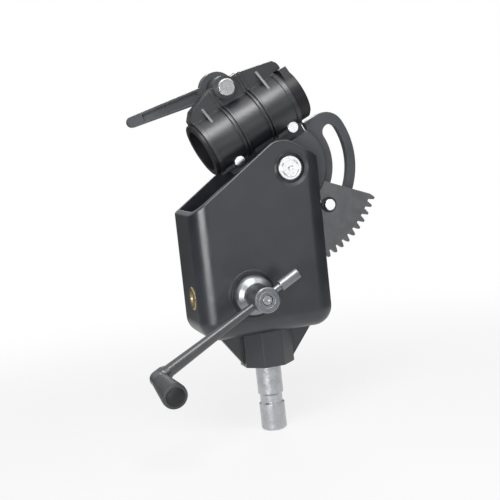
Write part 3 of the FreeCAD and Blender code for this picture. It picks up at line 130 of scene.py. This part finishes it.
class Wire:
    """One output of a node. Arithmetic on it adds Math nodes, and node() adds any other node."""

    def __init__(self, tree, socket=None):
        self.tree = tree
        self.socket = socket

    def node(self, kind, settings=(), values=(), output=0):
        """A node of this kind: its settings first, then numbers or wires into its inputs."""
        made = self.tree.nodes.new("ShaderNode" + kind)
        for name, setting in dict(settings).items():
            if name == "stops":
                ramp = made.color_ramp
                for spare in list(ramp.elements)[1:]:
                    ramp.elements.remove(spare)
                for number, (place, level) in enumerate(setting):
                    stop = ramp.elements[0] if number == 0 else ramp.elements.new(place)
                    stop.position = place
                    stop.color = (*level, 1.0) if isinstance(level, tuple) else (level, level, level, 1.0)
            else:
                setattr(made, name, setting)
        for name, given in dict(values).items():
            slot = self.slot(made, name)
            if isinstance(given, Wire):
                self.tree.links.new(given.socket, slot)
            elif isinstance(given, (tuple, list, Vector)) and len(slot.default_value) == 4:
                slot.default_value = (*tuple(given)[:3], 1.0)
            else:
                slot.default_value = given
        return Wire(self.tree, made.outputs[output])

    @staticmethod
    def slot(made, name):
        """The input that has this place, identifier or name."""
        if isinstance(name, int):
            return made.inputs[name]
        for socket in made.inputs:
            if socket.identifier == name:
                return socket
        return made.inputs[name]

    def sum(self, operation, first, second):
        return self.node("Math", {"operation": operation}, {0: first, 1: second})

    def __add__(self, other):
        return self.sum("ADD", self, other)

    def __radd__(self, other):
        return self.sum("ADD", other, self)

    def __sub__(self, other):
        return self.sum("SUBTRACT", self, other)

    def __rsub__(self, other):
        return self.sum("SUBTRACT", other, self)

    def __mul__(self, other):
        return self.sum("MULTIPLY", self, other)

    def __rmul__(self, other):
        return self.sum("MULTIPLY", other, self)

    def clamp(self):
        return self.node("Clamp", (), {"Value": self})

    def between(self, low, high):
        """0 below low, 1 above high, smooth between."""
        return self.node(
            "MapRange",
            {"interpolation_type": "SMOOTHSTEP"},
            {"Value": self, "From Min": low, "From Max": high},
        )

    def mixed(self, first, second):
        """The first colour where this is 0, the second where it is 1."""
        return self.node(
            "Mix",
            {"data_type": "RGBA"},
            {"Factor_Float": self, "A_Color": first, "B_Color": second},
            output=MIXED_COLOUR,
        )


class Finish:
    """A material with a Principled surface, and the patterns that its colour and surface are made from."""

    def __init__(self, name, **constants):
        self.material = bpy.data.materials.new(name)
        self.material.use_nodes = True
        self.tree = self.material.node_tree
        self.tree.nodes.clear()
        self.start = Wire(self.tree)
        self.surface = self.tree.nodes.new("ShaderNodeBsdfPrincipled")
        output = self.tree.nodes.new("ShaderNodeOutputMaterial")
        self.tree.links.new(self.surface.outputs[0], output.inputs["Surface"])
        self.place = self.start.node("TexCoord", output=OBJECT_PLACE)
        for name, number in constants.items():
            self.surface.inputs[name.replace("_", " ").title().replace("Ior", "IOR")].default_value = number

    def colour(self, wire):
        self.tree.links.new(wire.socket, self.surface.inputs["Base Color"])

    def roughness(self, wire):
        self.tree.links.new(wire.socket, self.surface.inputs["Roughness"])

    def noise(self, size, detail=3.0, roughness=0.5, stretch=None, turn=0.0):
        """Cloudy noise with features of about this size in metres, stretched along the tube when asked."""
        place = self.place
        if stretch:
            place = self.start.node(
                "Mapping",
                (),
                {"Vector": place, "Rotation": (0.0, turn, 0.0), "Scale": stretch},
            )
        return self.start.node(
            "TexNoise",
            (),
            {"Vector": place, "Scale": 1.0 / size, "Detail": detail, "Roughness": roughness},
        )

    def cells(self, size, randomness=1.0):
        """Distance to the nearest of many scattered points about this far apart."""
        return self.start.node(
            "TexVoronoi",
            (),
            {"Vector": self.place, "Scale": 1.0 / size, "Randomness": randomness},
        )

    def radius(self, centre, axis):
        """Distance from an axis."""
        away = self.start.node(
            "VectorMath", {"operation": "SUBTRACT"}, {0: self.place, 1: tuple(centre)}
        )
        across = self.start.node(
            "VectorMath", {"operation": "CROSS_PRODUCT"}, {0: away, 1: tuple(axis)}
        )
        return self.start.node("VectorMath", {"operation": "LENGTH"}, {0: across}, output=NUMBER)

    def soft_edges(self, width):
        """The normal with edges rounded over this width, and how near an edge each point is."""
        rounded = self.start.node("Bevel", {"samples": EDGE_SAMPLES}, {"Radius": width})
        flat = self.start.node("NewGeometry", output=NORMAL)
        facing = self.start.node(
            "VectorMath", {"operation": "DOT_PRODUCT"}, {0: rounded, 1: flat}, output=NUMBER
        )
        return rounded, 1.0 - facing.between(*EDGE_COSINES)

    def relief(self, height, depth, under=None):
        """Bump of this depth in metres, over the normal given."""
        values = {"Height": height, "Strength": 1.0, "Distance": depth}
        if under:
            values["Normal"] = under
        return self.start.node("Bump", (), values)

    def normal(self, wire):
        self.tree.links.new(wire.socket, self.surface.inputs["Normal"])


def cast_paint(name, colour, gloss, grain, edge, shine):
    """Paint on a sand casting: fine grain, a slow unevenness from the mould, and bare metal at rubbed edges."""
    finish = Finish(name, specular_ior_level=shine)
    rounded, near_edge = finish.soft_edges(edge)
    cloud = finish.noise(38 * MM, 4.0)
    fine = finish.noise(1.1 * MM, 2.0)
    pits = finish.cells(2.6 * MM)
    slow = finish.noise(16 * MM, 2.0)
    worn = (near_edge * finish.noise(4 * MM, 4.0, 0.6).between(0.56, 0.66)).clamp()
    paint = cloud.between(0.35, 0.65).mixed(shade(colour, 0.8), shade(colour, 1.2))
    finish.colour((worn * 0.45).mixed(paint, BARE_METAL))
    finish.roughness(gloss + (cloud - 0.5) * 0.16 + (fine - 0.5) * 0.08 + worn * 0.1)
    bumps = finish.relief(slow, 0.25 * MM, rounded)
    bumps = finish.relief(fine * 0.7 + pits * 0.3, grain, bumps)
    finish.normal(bumps)
    return finish.material


def ground_steel(name, colour, shine, turn):
    """Plate ground flat: long fine scratches across it, with cloudy stains and brighter edges."""
    finish = Finish(name, metallic=1.0)
    rounded, near_edge = finish.soft_edges(0.5 * MM)
    scratch = finish.noise(0.5 * MM, 3.0, 0.6, (0.03, 1.0, 1.0), turn)
    stain = finish.noise(14 * MM, 4.0, 0.6)
    base = (stain.between(0.3, 0.7) * 0.7 + scratch * 0.3).mixed(shade(colour, 0.72), colour)
    finish.colour((near_edge * 0.5).mixed(base, shade(colour, 1.5)))
    finish.roughness(shine + (scratch - 0.5) * 0.25 + (stain - 0.5) * 0.15)
    finish.normal(finish.relief(scratch, 0.02 * MM, rounded))
    return finish.material


def turned_metal(name, colour, shine, centre, axis, pitch):
    """Metal turned on a lathe: rings round its axis in height and in shine, and a light mottle."""
    finish = Finish(name, metallic=1.0)
    rounded, near_edge = finish.soft_edges(0.35 * MM)
    turns = finish.radius(centre, axis) * (2 * math.pi / pitch)
    rings = finish.start.node("Math", {"operation": "SINE"}, {0: turns})
    mottle = finish.noise(14 * MM, 4.0, 0.6)
    base = mottle.between(0.3, 0.7).mixed(shade(colour, 0.82), colour)
    finish.colour((near_edge * 0.5).mixed(base, shade(colour, 1.2)))
    finish.roughness(shine + rings * 0.05 + (mottle - 0.5) * 0.12)
    finish.normal(finish.relief(rings, 0.006 * MM, rounded))
    return finish.material


def satin_metal(name, colour, shine, stain_size=9 * MM):
    """Blasted or plated metal: even, with a faint mottle, and brighter where edges are rubbed."""
    finish = Finish(name, metallic=1.0)
    rounded, near_edge = finish.soft_edges(0.5 * MM)
    mottle = finish.noise(stain_size, 4.0, 0.6)
    grain = finish.noise(0.45 * MM, 2.0)
    base = mottle.between(0.3, 0.7).mixed(shade(colour, 0.8), colour)
    finish.colour((near_edge * 0.6).mixed(base, shade(colour, 1.35)))
    finish.roughness(shine + (mottle - 0.5) * 0.14 + (grain - 0.5) * 0.08)
    finish.normal(finish.relief(grain, 0.015 * MM, rounded))
    return finish.material


def moulded(name, colour, gloss, grain, shine=0.35):
    """Moulded plastic or rubber: fine even texture, a random mottle, and a slight sheen on high spots, from lower
    roughness there and from a painted sheen that makes the colour lighter at edges.
    """
    finish = Finish(name, specular_ior_level=shine)
    rounded, near_edge = finish.soft_edges(0.4 * MM)
    fine = finish.noise(0.6 * MM, 2.0)
    cloud = finish.noise(12 * MM, 3.0)
    # The colour is lighter by a random mottle, which is the material's own, and at edges by a painted sheen
    lighter = cloud.between(0.3, 0.7) * 0.7 + near_edge * 0.3
    finish.colour(lighter.mixed(shade(colour, 0.85), shade(colour, 1.15)))
    finish.roughness(gloss + (cloud - 0.5) * 0.1 - near_edge * 0.08)
    finish.normal(finish.relief(fine, grain, rounded))
    return finish.material


def dress(node, material):
    """Gives a node's surface this material."""
    slots = NODES[node].material_slots
    if not slots:
        NODES[node].data.materials.append(material)
    for slot in slots:
        slot.material = material


def colour_property(name, description, default):
    return bpy.props.FloatVectorProperty(
        name=name, description=description, subtype="COLOR", size=3, min=0.0, max=1.0, default=default
    )


class HeadColours(bpy.types.PropertyGroup):
    case_paint: colour_property("Case paint", "Satin paint on the gear case", (0.014, 0.0165, 0.022))
    jaw_paint: colour_property("Clamp paint", "Glossy paint on the clamp's jaws", (0.008, 0.009, 0.012))
    plate_paint: colour_property("Plate paint", "Paint on the slotted plate", (0.05, 0.054, 0.06))
    sector_steel: colour_property("Sector steel", "Ground steel of the toothed sector", (0.21, 0.215, 0.225))
    lever_grey: colour_property("Lever grey", "Painted casting of the clamp's lever", (0.06, 0.064, 0.07))
    crank_metal: colour_property("Crank metal", "Satin metal of crank and hub", (0.27, 0.285, 0.305))
    arm_paint: colour_property("Arm", "Dark glossy finish of the crank's arm", (0.03, 0.032, 0.036))
    chrome: colour_property("Bright plate", "Plate on the bolt heads", (0.86, 0.87, 0.88))
    steel: colour_property("Steel", "Turned steel", (0.5, 0.51, 0.53))
    dark_steel: colour_property("Blackened steel", "Blackened washers", (0.05, 0.052, 0.056))
    brass: colour_property("Brass", "Brake adjuster", (0.42, 0.34, 0.2))
    bronze: colour_property("Bronze", "Plain bearings", (0.5, 0.33, 0.17))
    nylon: colour_property("Nylon", "Clamp liners", (0.014, 0.014, 0.016))
    grip: colour_property("Grip", "Moulded grip sleeve", (0.05, 0.052, 0.055))
    cap: colour_property("Cap", "Rubber end of the grip", (0.012, 0.013, 0.014))


def length_property(name, description, default):
    return bpy.props.FloatProperty(
        name=name, description=description, subtype="DISTANCE", unit="LENGTH", min=0.0, default=default
    )


class HeadSizes(bpy.types.PropertyGroup):
    ring_width: length_property("Ring width", "Width of the raised rings on the turned faces", 1.3 * MM)
    ring_height: length_property("Ring height", "Height of the raised rings on the turned faces", 0.3 * MM)
    pivot_ring: length_property("Pivot ring", "Radius of the ring on the pivot bolt's head", 9.2 * MM)
    pivot_centre: length_property("Pivot centre", "Radius of the ring round its centre mark", 2.6 * MM)
    hub_ring: length_property("Hub ring", "Radius of the ring on the crank hub's face", 8.6 * MM)
    plug_ring: length_property("Plug ring", "Radius of the ring on the brake adjuster's face", 6.8 * MM)


class HeadStage(bpy.types.PropertyGroup):
    azimuth: bpy.props.FloatProperty(
        name="Azimuth", description="Camera's turn about the upright axis", subtype="ANGLE",
        default=math.radians(-16.2),
    )
    elevation: bpy.props.FloatProperty(
        name="Elevation", description="Camera's height above the horizon", subtype="ANGLE",
        default=math.radians(6.63),
    )
    roll: bpy.props.FloatProperty(
        name="Roll", description="Lean of the camera", subtype="ANGLE", default=math.radians(6.2)
    )
    distance: bpy.props.FloatProperty(
        name="Distance", description="Camera to pivot", subtype="DISTANCE", default=1.24536
    )
    aim: bpy.props.FloatVectorProperty(
        name="Aim", description="Picture's centre to the left of and below the pivot", size=2,
        subtype="TRANSLATION", default=(0.04254, 0.08796),
    )
    lens: bpy.props.FloatProperty(
        name="Lens", description="Focal length in millimetres on a 36 mm sensor", default=80.45
    )
    floor: colour_property("Floor", "Plain pale floor", (0.86, 0.86, 0.86))


def mesh_object(name, body, vertices, faces, material, smooth=True):
    """A new piece from arrays of corners and faces, riding on a body."""
    mesh = bpy.data.meshes.new(name)
    mesh.from_pydata(vertices.reshape(-1, 3).tolist(), [], faces.tolist())
    mesh.polygons.foreach_set("use_smooth", np.full(len(mesh.polygons), smooth))
    mesh.update()
    mesh.materials.append(material)
    piece = bpy.data.objects.new(name, mesh)
    bpy.context.scene.collection.objects.link(piece)
    if body:
        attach(piece, body)
    return piece


def turned_ring(name, body, centre, axis, profile, material, sides=96):
    """A closed profile of (radius, distance along the axis) turned about the axis: each point (r, h) goes
    to centre + h axis + r (cos u, sin u) in the plane across it, for u round the full circle."""
    axis = np.array(axis, float) / np.linalg.norm(axis)
    across = np.cross(axis, (0.0, 0.0, 1.0) if abs(axis[2]) < 0.9 else (1.0, 0.0, 0.0))
    across /= np.linalg.norm(across)
    other = np.cross(axis, across)
    u = np.linspace(0.0, 2 * math.pi, sides, endpoint=False)[:, None, None]
    r, h = np.array(profile).T[:, None, :, None]
    grid = np.array(centre) + h * axis + r * (np.cos(u) * across + np.sin(u) * other)
    round_it, along = np.meshgrid(np.arange(sides), np.arange(len(profile)), indexing="ij")
    after, beyond = (round_it + 1) % sides, (along + 1) % len(profile)
    width = len(profile)
    faces = np.stack([
        round_it * width + along, after * width + along, after * width + beyond, round_it * width + beyond
    ], -1)
    return mesh_object(name, body, grid, faces.reshape(-1, 4), material)


def bead(radius, width, height, sunk, steps=9):
    """Profile of a raised ring: half a sine across its width, and a flat foot sunk in what it stands on."""
    v = np.linspace(0.0, 1.0, steps)
    top = np.stack([radius + width * (0.5 - v), height * np.sin(math.pi * v)], 1)
    foot = np.array([[radius - width / 2, -sunk], [radius + width / 2, -sunk]])
    return np.concatenate([top, foot])


class DRESS_OT_case(bpy.types.Operator):
    """Paint the case, its cover and the tilting plate"""

    bl_idname = "geared_head.dress_case"
    bl_label = "Case"

    def execute(self, context):
        colours = context.scene.head_colours
        paint = cast_paint("CasePaint", tuple(colours.case_paint), 0.34, 0.035 * MM, 0.9 * MM, 0.85)
        for node in ("gear_case", "rear_cover"):
            dress(node, paint)
        plate = cast_paint("PlatePaint", tuple(colours.plate_paint), 0.42, 0.04 * MM, 0.7 * MM, 0.6)
        dress("tilt_bracket", plate)
        return {"FINISHED"}


class DRESS_OT_clamp(bpy.types.Operator):
    """Paint the clamp's jaws and finish its liners and lever"""

    bl_idname = "geared_head.dress_clamp"
    bl_label = "Tube clamp"

    def execute(self, context):
        colours = context.scene.head_colours
        paint = cast_paint("JawPaint", tuple(colours.jaw_paint), 0.40, 0.025 * MM, 0.7 * MM, 1.0)
        nylon = moulded("LinerNylon", tuple(colours.nylon), 0.4, 0.02 * MM)
        lever = cast_paint("LeverGrey", tuple(colours.lever_grey), 0.45, 0.03 * MM, 0.8 * MM, 0.5)
        for node in ("front_jaw", "rear_jaw"):
            dress(node, paint)
        for node in ("left_liner", "right_liner"):
            dress(node, nylon)
        dress("clamp_lever", lever)
        return {"FINISHED"}


class DRESS_OT_steel(bpy.types.Operator):
    """Finish the sector, gears, shafts and bearings"""

    bl_idname = "geared_head.dress_steel"
    bl_label = "Gears and bearings"

    def execute(self, context):
        colours, sizes = context.scene.head_colours, context.scene.head_sizes
        dress("gear_sector", ground_steel("SectorSteel", tuple(colours.sector_steel), 0.38, REST_TILT))
        gears = satin_metal("GearSteel", shade(colours.sector_steel, 0.8), 0.32)
        for node in ("idler_pinion", "idler_wheel", "crank_pinion"):
            dress(node, gears)
        steel = satin_metal("Steel", tuple(colours.steel), 0.28)
        for node in (
            "cover_screws", "spigot", "spigot_screw", "pivot_washer", "brake_spring", "clamp_washer",
            "lever_insert", "idler_shaft", "crank_shaft", "brake_drum", "hub_screw", "grip_spindle",
        ):
            dress(node, steel)
        bronze = satin_metal("Bronze", tuple(colours.bronze), 0.35)
        for node in (
            "thrust_washer_front", "thrust_washer_rear", "crank_bush_rear", "idler_bush_front",
            "idler_bush_rear", "pivot_bush_front", "pivot_bush_rear",
        ):
            dress(node, bronze)
        low, high = (Vector(corner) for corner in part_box("brake_plug"))
        middle = Vector((low.x, (low.y + high.y) / 2, (low.z + high.z) / 2))
        brass = turned_metal("Brass", tuple(colours.brass), 0.34, middle, LEFTWARD, 0.8 * MM)
        dress("brake_plug", brass)
        profile = bead(sizes.plug_ring, sizes.ring_width, sizes.ring_height, sizes.ring_height)
        turned_ring("plug_ring", BODY_OF["brake_plug"], middle, LEFTWARD, profile, brass)
        dress("brake_shoe", moulded("BrakeLining", (0.08, 0.06, 0.045), 0.8, 0.05 * MM))
        dress("sector_washers", satin_metal("DarkSteel", tuple(colours.dark_steel), 0.4))
        return {"FINISHED"}


class DRESS_OT_bright(bpy.types.Operator):
    """Finish the bright screws, bolts and nuts"""

    bl_idname = "geared_head.dress_bright"
    bl_label = "Bright fasteners"

    def execute(self, context):
        colours, sizes = context.scene.head_colours, context.scene.head_sizes
        chrome = satin_metal("BrightPlate", tuple(colours.chrome), 0.2, 24 * MM)
        for node in ("pivot_nut", "sector_screws", "jaw_screws", "jaw_nuts", "clamp_bolt"):
            dress(node, chrome)
        head = turned_metal("PivotHead", tuple(colours.chrome), 0.24, PIVOT, PIVOT_AXIS, 0.9 * MM)
        dress("pivot_bolt", head)
        face = Vector((PIVOT.x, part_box("pivot_bolt")[0][1], PIVOT.z))
        for name, radius in (("pivot_ring_outer", sizes.pivot_ring), ("pivot_ring_inner", sizes.pivot_centre)):
            profile = bead(radius, sizes.ring_width, sizes.ring_height, sizes.ring_height)
            turned_ring(name, BODY_OF["pivot_bolt"], face, FORWARD, profile, head)
        return {"FINISHED"}


class DRESS_OT_crank(bpy.types.Operator):
    """Finish the crank, its knob and its grip"""

    bl_idname = "geared_head.dress_crank"
    bl_label = "Crank"

    def execute(self, context):
        colours, sizes = context.scene.head_colours, context.scene.head_sizes
        metal = satin_metal("CrankMetal", tuple(colours.crank_metal), 0.36)
        turned = turned_metal("TurnedHub", tuple(colours.crank_metal), 0.34, CRANK, CRANK_AXIS, 1.1 * MM)
        dress("arm_knob", metal)
        for node in ("crank_bearing", "crank_hub"):
            dress(node, turned)
        face = Vector((CRANK.x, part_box("crank_hub")[0][1], CRANK.z))
        profile = bead(sizes.hub_ring, sizes.ring_width, sizes.ring_height, sizes.ring_height)
        turned_ring("hub_ring", BODY_OF["crank_hub"], face, FORWARD, profile, turned)
        dress("crank_arm", moulded("ArmPaint", tuple(colours.arm_paint), 0.3, 0.008 * MM, 1.0))
        dress("crank_grip", moulded("GripSleeve", tuple(colours.grip), 0.5, 0.03 * MM))
        dress("grip_cap", moulded("GripCap", tuple(colours.cap), 0.55, 0.03 * MM))
        return {"FINISHED"}


class HEAD_OT_stage(bpy.types.Operator):
    """Set up the camera, the floor and the soft light"""

    bl_idname = "geared_head.stage"
    bl_label = "Stage"

    def execute(self, context):
        stage = context.scene.head_stage
        self.camera(context, stage)
        self.floor(stage)
        self.light(context)
        context.scene.view_settings.view_transform = "Standard"
        return {"FINISHED"}

    def camera(self, context, stage):
        """Camera looking back along the azimuth and elevation, at a point left of and below the pivot."""
        turn, rise, roll = stage.azimuth, stage.elevation, stage.roll
        back = outward(turn, rise)
        right = Vector((math.cos(turn), math.sin(turn), 0.0))
        up = back.cross(right)
        place = PIVOT + stage.distance * back - stage.aim[0] * right - stage.aim[1] * up
        across = math.cos(roll) * right - math.sin(roll) * up
        upward = math.sin(roll) * right + math.cos(roll) * up
        lens = bpy.data.cameras.new("Camera")
        lens.lens = stage.lens
        lens.sensor_width = SENSOR_WIDTH
        lens.clip_start, lens.clip_end = CLIPPING
        camera = bpy.data.objects.new("Camera", lens)
        turned = Matrix((across, upward, back)).transposed().to_4x4()
        camera.matrix_world = Matrix.Translation(place) @ turned
        context.scene.collection.objects.link(camera)
        context.scene.camera = camera

    def floor(self, stage):
        """A disc under the object that fades out into the background."""
        low = CAD_BOUNDS[0][2] - FLOOR_GAP
        around = np.linspace(0.0, 2 * math.pi, FLOOR_SIDES, endpoint=False)
        across, deep = FLOOR_REACH * np.cos(around), FLOOR_REACH * np.sin(around)
        rim = np.stack([across, deep, np.full(FLOOR_SIDES, low)], 1)
        material = bpy.data.materials.new("Floor")
        material.use_nodes = True
        tree = material.node_tree
        tree.nodes.clear()
        start = Wire(tree)
        place = start.node("TexCoord", output=OBJECT_PLACE)
        away = start.node("VectorMath", {"operation": "LENGTH"}, {0: place}, output=NUMBER)
        paper = start.node("BsdfDiffuse", (), {"Color": tuple(stage.floor)})
        white = start.node("Emission", (), {"Color": WHITE, "Strength": 1.0})
        path = start.node("LightPath")
        camera = Wire(tree, path.socket.node.outputs["Is Camera Ray"])
        glossy = Wire(tree, path.socket.node.outputs["Is Glossy Ray"])
        through = Wire(tree, path.socket.node.outputs["Is Transmission Ray"])
        shown = (camera + glossy + through).clamp() * FLOOR_LIFT
        lifted = start.node("MixShader", (), {0: shown, 1: paper, 2: white})
        open_air = start.node("BsdfTransparent")
        mixed = start.node("MixShader", (), {0: away.between(*FLOOR_FADE), 1: lifted, 2: open_air})
        output = tree.nodes.new("ShaderNodeOutputMaterial")
        tree.links.new(mixed.socket, output.inputs["Surface"])
        face = np.arange(FLOOR_SIDES).reshape(1, -1)
        floor = mesh_object("Floor", None, rim, face, material, smooth=False)

    def light(self, context):
        """A backdrop that is white to the camera, and to mirrors only overhead, and the soft lamps."""
        world = bpy.data.worlds.new("Studio")
        world.use_nodes = True
        tree = world.node_tree
        tree.nodes.clear()
        start = Wire(tree)
        path = start.node("LightPath")
        seen = path.socket.node.outputs
        camera = Wire(tree, seen["Is Camera Ray"])
        glossy = Wire(tree, seen["Is Glossy Ray"])
        through = Wire(tree, seen["Is Transmission Ray"])
        way = start.node("TexCoord", output=WORLD_WAY)
        towards = start.node(
            "VectorMath", {"operation": "DOT_PRODUCT"}, {0: way, 1: OPEN_SIDE}, output=NUMBER
        )
        mirrored = ROOM_DIM + towards.between(*OPEN_COSINES) * (1.0 - ROOM_DIM)
        shown = (camera + through + glossy * mirrored).clamp()
        dim = start.node("Background", (), {"Color": WHITE, "Strength": AMBIENT})
        white = start.node("Background", (), {"Color": WHITE, "Strength": 1.0})
        mixed = start.node("MixShader", (), {0: shown, 1: dim, 2: white})
        output = tree.nodes.new("ShaderNodeOutputWorld")
        tree.links.new(mixed.socket, output.inputs["Surface"])
        context.scene.world = world
        centre = (Vector(CAD_BOUNDS[0]) + Vector(CAD_BOUNDS[1])) / 2
        for name, azimuth, elevation, distance, width, height, radiance in LAMPS:
            lamp = bpy.data.lights.new(name, "AREA")
            lamp.shape = "RECTANGLE"
            lamp.size, lamp.size_y = width, height
            lamp.energy = radiance * math.pi * width * height
            offset = distance * outward(math.radians(azimuth), math.radians(elevation))
            thing = bpy.data.objects.new(name, lamp)
            thing.location = centre + offset
            thing.rotation_mode = "QUATERNION"
            thing.rotation_quaternion = (-offset).to_track_quat("-Z", "Y")
            context.scene.collection.objects.link(thing)


GROUPS = (DRESS_OT_case, DRESS_OT_clamp, DRESS_OT_steel, DRESS_OT_bright, DRESS_OT_crank, HEAD_OT_stage)


class HEAD_PT_panel(bpy.types.Panel):
    """The head's groups, its colours and its stage"""

    bl_idname = "HEAD_PT_panel"
    bl_label = "Geared Head"
    bl_space_type = "VIEW_3D"
    bl_region_type = "UI"
    bl_category = "Geared Head"

    def draw(self, context):
        for group in GROUPS:
            self.layout.operator(group.bl_idname)
        scene = context.scene
        for settings in (scene.head_colours, scene.head_sizes, scene.head_stage):
            for name in settings.__annotations__:
                self.layout.prop(settings, name)


CLASSES = (HeadColours, HeadSizes, HeadStage, *GROUPS, HEAD_PT_panel)


def register():
    for made in CLASSES:
        bpy.utils.register_class(made)
    bpy.types.Scene.head_colours = bpy.props.PointerProperty(type=HeadColours)
    bpy.types.Scene.head_sizes = bpy.props.PointerProperty(type=HeadSizes)
    bpy.types.Scene.head_stage = bpy.props.PointerProperty(type=HeadStage)


def unregister():
    del bpy.types.Scene.head_stage
    del bpy.types.Scene.head_sizes
    del bpy.types.Scene.head_colours
    for made in reversed(CLASSES):
        bpy.utils.unregister_class(made)


def main():
    """Registers the settings and the panel, then makes everything in order."""
    register()
    for group in GROUPS:
        family, name = group.bl_idname.split(".")
        getattr(getattr(bpy.ops, family), name)()


if __name__ == "__main__":
    main()
